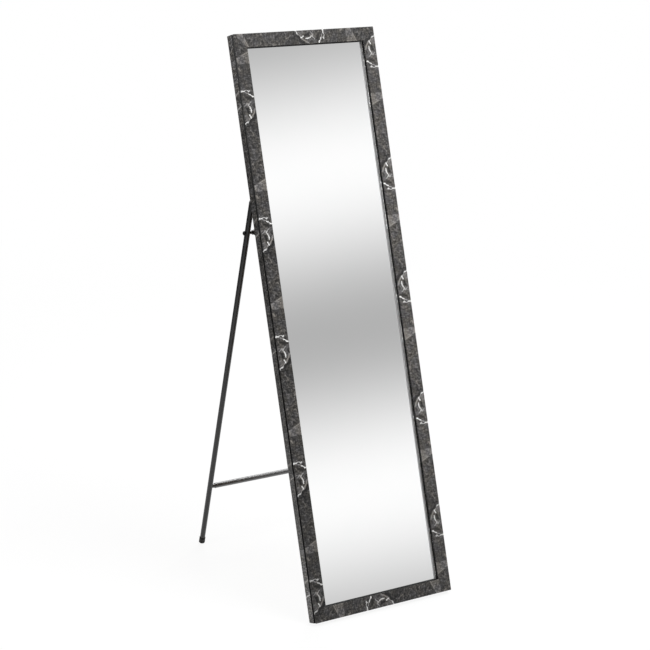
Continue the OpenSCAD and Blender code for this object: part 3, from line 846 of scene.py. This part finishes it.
def six_sided(name: str, flats: float, start: float, end: float) -> Piece:
    """Adds a six-sided bar along z, by its width across the flats and the heights of its ends, in mm.

    Its corners come half a step from the corners of a turning, so that no edge meets an edge.
    """
    bpy.ops.mesh.primitive_cylinder_add(
        vertices=6,
        radius=flats / math.sqrt(3.0) * MM,
        depth=(end - start) * MM,
        location=(0.0, 0.0, (start + end) / 2 * MM),
        rotation=(0.0, 0.0, math.radians(30.0) + math.pi / TURNED_SIDES),
    )
    bar = bpy.context.object
    bar.name = name
    bpy.ops.object.transform_apply(location=True, rotation=True, scale=True)
    return bar


def combine(piece: Piece, tool: Piece, operation: str) -> Piece:
    """Cuts the tool out of a part by DIFFERENCE, or keeps what both share by INTERSECT."""
    modifier = piece.modifiers.new("combine", "BOOLEAN")
    modifier.object = tool
    modifier.operation = operation
    modifier.solver = "EXACT"
    pick(piece)
    bpy.ops.object.modifier_apply(modifier=modifier.name)
    bpy.data.objects.remove(tool)
    smooth(piece)
    return piece


@dataclass(frozen=True)
class Fitting:
    """A small part that is modelled once, and how each copy of it is finished and carried."""

    pattern: Piece
    finish: Finish
    slot: str
    body: str

    def fit(self, name: str, node: str, place: Matrix) -> None:
        """Puts one named copy of the part in its place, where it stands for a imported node."""
        copy = self.pattern.copy()
        copy.data = self.pattern.data.copy()
        copy.name = name
        bpy.context.scene.collection.objects.link(copy)
        copy.matrix_world = place
        pick(copy)
        bpy.ops.object.transform_apply(location=True, rotation=True, scale=True)
        self.finish.dress(copy)
        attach(copy, self.body)
        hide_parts(node)
        LOG.info("%s: %d faces on %s", name, len(copy.data.polygons), self.body)

    def done(self) -> None:
        """Takes the pattern away once its copies are in place."""
        bpy.data.objects.remove(self.pattern)


class Studio:
    """Pale floor, white surround, soft lamps and the camera of the photograph's view.

    The camera's place counts from the lower front edge of the frame, in the frame's own axes. The bands
    that the mirror shows are given in degrees of height. Each lamp has a name, a place, the point that
    it faces, the length of its side and its power in watts.
    """

    image_size = 650
    lens = 100.054
    sensor = 36.0
    azimuth = math.radians(31.855)
    elevation = math.radians(15.320)
    roll = math.radians(-0.644)
    centre_px = (321.164, 321.003)
    place = (-2.01882, -3.31213, 0.70849)
    white = (1.0, 1.0, 1.0, 1.0)
    floor_colour = (0.92, 0.92, 0.92, 1.0)
    ambient = 0.24
    band_mean = 0.735
    band_swing = 0.276
    band_step = 10.3
    band_height = 10.55
    band_slant = 5.73
    band_shift = 3.2
    lamps = (
        ("front_lamp", (0.9, -1.4, 3.4), (0.0, 0.0, 0.6), 1.6, 92.0),
        ("side_lamp", (-1.3, -0.4, 2.3), (-0.17, 0.1, 1.0), 0.8, 15.0),
        ("back_lamp", (1.9, 1.9, 3.2), (0.0, 0.0, 0.3), 2.0, 95.0),
    )

    def make_camera(self) -> None:
        """Places the camera, with the small shift that the photograph's framing needs."""
        east = math.cos(self.elevation) * math.sin(self.azimuth)
        north = math.cos(self.elevation) * math.cos(self.azimuth)
        forward = Vector((east, north, -math.sin(self.elevation)))
        level = forward.cross(Vector((0.0, 0.0, 1.0))).normalized()
        right = Matrix.Rotation(self.roll, 3, forward) @ level
        up = right.cross(forward)
        data = bpy.data.cameras.new("photo_camera")
        data.lens = self.lens
        data.sensor_width = self.sensor
        middle = self.image_size / 2
        data.shift_x = (middle - self.centre_px[0]) / self.image_size
        data.shift_y = (self.centre_px[1] - middle) / self.image_size
        data.clip_end = 100.0
        camera = bpy.data.objects.new("photo_camera", data)
        bpy.context.scene.collection.objects.link(camera)
        turn = Matrix((right, up, -forward)).transposed().to_4x4()
        camera.matrix_world = Matrix.Translation(LAYOUT.mirror_axes.point(*self.place)) @ turn
        bpy.context.scene.camera = camera

    def make_floor(self) -> None:
        """Lays a wide pale floor, white to the camera, that takes the object's shadow and glows near it
        as painted light in reflections.
        """
        bpy.ops.mesh.primitive_plane_add(size=30.0, location=(0.0, 0.0, 0.0))
        floor = bpy.context.object
        floor.name = "studio_floor"
        material = bpy.data.materials.new("studio_floor")
        material.use_nodes = True
        sheet = NodeSheet(material.node_tree)
        lit = sheet.node("BsdfDiffuse", {"Color": self.floor_colour})
        spot = sheet.node("TexCoord", {}, "Object")
        away = sheet.vector("LENGTH", {0: spot}, "Value")
        # Painted light: to glossy rays the floor glows brighter near the object and dimmer far off.
        near_glow = away.rise(2.2, 0.4) * 1.2 + 0.15
        strength = sheet.between(self.rays(sheet, "Glossy"), 1.0, near_glow)
        glow = sheet.node("Emission", {"Color": self.white, "Strength": strength})
        seen = self.rays(sheet, "Camera", "Glossy", "Transmission")
        share = seen * (away.rise(1.0, 3.5) * 0.1 + 0.9)
        shown = sheet.node("MixShader", {0: share, 1: lit, 2: glow})
        sheet.end("OutputMaterial", Surface=shown)
        floor.data.materials.append(material)

    @staticmethod
    def rays(sheet: NodeSheet, *kinds: str) -> Value:
        """Returns 1 for light rays of the given kinds, else 0."""
        found = [sheet.node("LightPath", {}, f"Is {kind} Ray") for kind in kinds]
        return reduce(Value.at_least, found)

    def make_world(self) -> None:
        """Makes a white surround, an even light for the surfaces, and soft bands for reflections."""
        world = bpy.data.worlds.new("studio")
        world.use_nodes = True
        bpy.context.scene.world = world
        sheet = NodeSheet(world.node_tree)
        east, north, up = sheet.split(sheet.node("TexCoord", {}, "Generated"))
        height = sheet.math("ARCSINE", up) * math.degrees(1.0)
        sideways = east * math.cos(self.azimuth) + north * math.sin(self.azimuth)
        slant = sideways * self.band_slant + self.band_shift
        wave = sheet.math("COSINE", (height + slant - self.band_height) * (math.tau / self.band_step))
        near_level = height.rise(-6.0, 3.0) * height.rise(34.0, 24.0)
        bands = self.band_mean + (1.0 - near_level) * 0.1 + wave * near_level * self.band_swing
        strength = sheet.between(self.rays(sheet, "Glossy"), self.ambient, bands)
        strength = sheet.between(self.rays(sheet, "Camera", "Transmission"), strength, 1.0)
        light = sheet.node("Background", {"Color": self.white, "Strength": strength})
        sheet.end("OutputWorld", Surface=light)

    def make_lamps(self) -> None:
        """Hangs the square soft lamps."""
        for name, place, aim, size, power in self.lamps:
            data = bpy.data.lights.new(name, "AREA")
            data.shape = "SQUARE"
            data.size = size
            data.energy = power
            lamp = bpy.data.objects.new(name, data)
            bpy.context.scene.collection.objects.link(lamp)
            down = Vector(aim) - Vector(place)
            turn = down.to_track_quat("-Z", "Y").to_matrix().to_4x4()
            lamp.matrix_world = Matrix.Translation(Vector(place)) @ turn

    def build(self) -> None:
        """Sets up the whole studio."""
        bpy.context.scene.view_settings.view_transform = "Standard"
        self.make_camera()
        self.make_floor()
        self.make_world()
        self.make_lamps()
        LOG.info("studio is set")


class MirrorFrame:
    """The four mitred rails and the nails that hold their corners."""

    def dress(self) -> None:
        """Gives each rail its foil, with the print running on round the frame."""
        for foil in FOILS:
            foil.dress_nodes(f"frame_rail_{foil.rail.value}")
        ZincSteel().dress_nodes("corner_nails")


class Pane:
    """The mirror glass, the board behind it and the tabs that hold both."""

    def dress(self) -> None:
        """Gives the glass, the board and the tabs their finishes."""
        SilveredGlass().dress_nodes("mirror_glass")
        Fibreboard().dress_nodes("backing_board")
        ZincSteel().dress_nodes("backing_tabs")


@dataclass
class HingeSet:
    """The brackets, rivets and slotted arms on the back of the frame, with their screws."""

    body: str = "mirror_frame"
    rivet_inset: float = 0.0097

    def dress(self) -> None:
        """Gives the fittings of both sides their finishes."""
        coat = PowderCoat(name="bracket_powder_coat", tone=38.0, gloss=0.46)
        coat.dress_nodes(*pair("hinge_bracket"), *pair("limit_arm"))
        BlackOxide().dress_nodes("bracket_screws")

    def turn_rivet(self) -> Piece:
        """Turns a rivet with a low domed head and a rolled end with a hollow in it."""
        rivet = Turning("rivet", 0.5, -1.48)
        rivet.draw((2.2, -1.44), (3.1, -1.18), (3.7, -0.72), (3.95, -0.25), (3.95, 0.0), (2.48, 0.0))
        rivet.draw((2.48, 6.6), (3.8, 6.6), (3.92, 6.8), (3.85, 7.2), (3.5, 7.65), (2.9, 7.98))
        rivet.draw((2.3, 8.06), (1.9, 7.95), (1.7, 7.6), (1.5, 7.45), (0.5, 7.42))
        return rivet.finish()

    def build(self) -> None:
        """Makes the rivets that the legs turn on."""
        fitting = Fitting(self.turn_rivet(), BlackOxide(), "black_steel", self.body)
        for side in Side:
            word = side.name.lower()
            point = LAYOUT.hinge + Vector((LAYOUT.across(side, self.rivet_inset), 0.0, 0.0))
            place = LAYOUT.inward(side, point, -LAYOUT.lean)
            fitting.fit(f"hinge_rivet_{word}", f"hinge_pin_{word}", place)
        fitting.done()


@dataclass
class FoldingStand:
    """The two legs, the crossbar between them, and what closes their ends."""

    body: str = "stand"
    nut_inset: float = 0.03175
    nut_flats: float = 8.0
    nut_height: float = 4.7
    bolt_length: float = 31.65
    thread_start: float = 24.5
    thread_pitch: float = 0.8
    thread_crest: float = 2.45
    thread_root: float = 2.14
    socket_flats: float = 3.0

    def dress(self) -> None:
        """Gives the tubes, plugs and spacers their finishes."""
        tube = PowderCoat("tube_powder_coat", on_stand=True, tone=34.0, gloss=0.26, peel_depth=0.02)
        # Painted light: the crossbar's coat is the tubes' black powder coat, painted lighter.
        bar = PowderCoat(
            "crossbar_powder_coat_painted_light", on_stand=True, tone=48.0, gloss=0.32, peel_depth=0.004, sheen=1.0
        )
        tube.dress_nodes(*pair("leg"), *pair("leg_plug"))
        bar.dress_nodes("crossbar", *pair("crossbar_plug"))
        MouldedPart("moulded_plastic", tone=30.0, rough=0.42).dress_nodes("bolt_spacers")
        BlackOxide().dress_nodes("bolt_washers")

    def turn_bolt(self) -> Piece:
        """Turns a button head bolt with a thread at its end, and sinks the socket for its key."""
        bolt = Turning("bolt", 0.5, -4.58)
        bolt.draw((1.9, -4.52), (2.8, -4.28), (3.6, -3.8), (4.25, -3.1), (4.7, -2.2), (4.92, -1.2))
        bolt.draw((4.97, -0.5), (4.9, -0.1), (4.75, 0.0), (2.48, 0.0), (2.48, self.thread_start))
        height = self.thread_start
        while height + self.thread_pitch < self.bolt_length - 0.4:
            for share in (0.42, 0.58):
                bolt.draw((self.thread_root, height + self.thread_pitch * share))
            height += self.thread_pitch
            bolt.draw((self.thread_crest, height - 0.06), (self.thread_crest, height))
        bolt.draw((2.1, self.bolt_length - 0.2), (1.7, self.bolt_length), (0.5, self.bolt_length))
        turned = bolt.finish()
        return combine(turned, six_sided("socket", self.socket_flats, -5.5, -2.6), "DIFFERENCE")

    def turn_nut(self) -> Piece:
        """Makes a six-sided lock nut with bevelled corners and a rolled collar for its ring."""
        outline = Turning("lock_nut", 3.75)
        outline.draw((4.75, 0.55), (4.75, 2.95), (3.85, 3.42), (3.72, 3.6), (3.72, 4.3), (3.6, 4.55))
        outline.draw((3.35, self.nut_height), (2.98, self.nut_height), (2.86, 4.58), (2.86, 4.05))
        nut = outline.finish()
        nut = combine(nut, six_sided("bar", self.nut_flats, -0.5, self.nut_height + 0.5), "INTERSECT")
        bore = Turning("nut_bore", 2.56, -1.0).draw((2.56, 6.0)).finish()
        return combine(nut, bore, "DIFFERENCE")

    def turn_ring(self) -> Piece:
        """Turns the plastic ring that grips the thread in a lock nut."""
        ring = Turning("lock_ring", 2.5, 4.08)
        ring.draw((2.5, 4.42), (2.58, 4.5), (2.78, 4.5), (2.84, 4.42), (2.84, 4.08), (2.5, 4.08))
        return ring.finish()

    def turn_foot(self) -> Piece:
        """Turns a rubber cap with rings under its sole, a groove round its waist and a soft rim."""
        foot = Turning("foot_cap", 0.6, 0.5)
        foot.draw((1.2, 0.5), (1.4, 0.0), (2.6, 0.0), (2.8, 0.5), (3.6, 0.5), (3.8, 0.0), (5.8, 0.0))
        foot.draw((6.25, 0.09), (6.65, 0.35), (6.91, 0.75), (7.0, 1.2), (7.0, 5.1), (6.9, 5.4))
        foot.draw((6.5, 5.7), (6.5, 7.2), (6.9, 7.5), (7.0, 7.8), (7.0, 13.9), (6.93, 14.25))
        foot.draw((6.75, 14.44), (6.5, 14.5), (6.15, 14.5), (6.02, 14.35), (6.02, 2.6), (0.6, 2.6))
        return foot.finish()

    @staticmethod
    def on_bolt(side: Side, inset: float) -> Matrix:
        """Returns a place on a bolt's axis, the inset in from the frame's side, facing inwards."""
        axes = LAYOUT.stand_axes
        point = axes.point(LAYOUT.across(side, inset), 0.0, -LAYOUT.bolt_reach)
        return LAYOUT.inward(side, point, axes.turn)

    def build(self) -> None:
        """Makes the bolts, the lock nuts with their rings, and the feet."""
        axes = LAYOUT.stand_axes
        steel = BlackOxide("black_oxide_bolts", on_stand=True)
        nylon = MouldedPart("lock_ring_plastic", tone=44.0, rough=0.35)
        # The rubber has a lighter band of painted light round the feet's waists.
        rubber = MouldedPart(
            "moulded_rubber", tone=13.0, rough=0.62, sheen=0.22, grain_scale=2.2, grain_depth=0.08,
            waist_painted_light=46.0,
        )
        bolt = Fitting(self.turn_bolt(), steel, "black_screws", self.body)
        nut = Fitting(self.turn_nut(), steel, "black_screws", self.body)
        ring = Fitting(self.turn_ring(), nylon, "black_screws", self.body)
        foot = Fitting(self.turn_foot(), rubber, "black_rubber", self.body)
        for side in Side:
            word = side.name.lower()
            at_head = self.on_bolt(side, LAYOUT.leg_inset - LAYOUT.leg_radius)
            at_nut = self.on_bolt(side, self.nut_inset)
            sole = axes.point(LAYOUT.across(side, LAYOUT.leg_inset), 0.0, -LAYOUT.foot_reach)
            on_sole = Matrix.Translation(sole) @ Matrix.Rotation(axes.turn, 4, "X")
            bolt.fit(f"button_bolt_{word}", f"limit_bolt_{word}", at_head)
            nut.fit(f"lock_nut_{word}", "lock_nuts", at_nut)
            ring.fit(f"lock_ring_{word}", "lock_nuts", at_nut)
            foot.fit(f"rubber_foot_{word}", f"foot_cap_{word}", on_sole)
        for fitting in (bolt, nut, ring, foot):
            fitting.done()


def main() -> None:
    """Dresses the sub-assemblies in order and sets up the studio."""
    logging.basicConfig(level=logging.INFO, format="%(name)s: %(message)s")
    MirrorFrame().dress()
    Pane().dress()
    for part in (HingeSet(), FoldingStand()):
        part.dress()
        part.build()
    Studio().build()


if __name__ == "__main__":
    main()
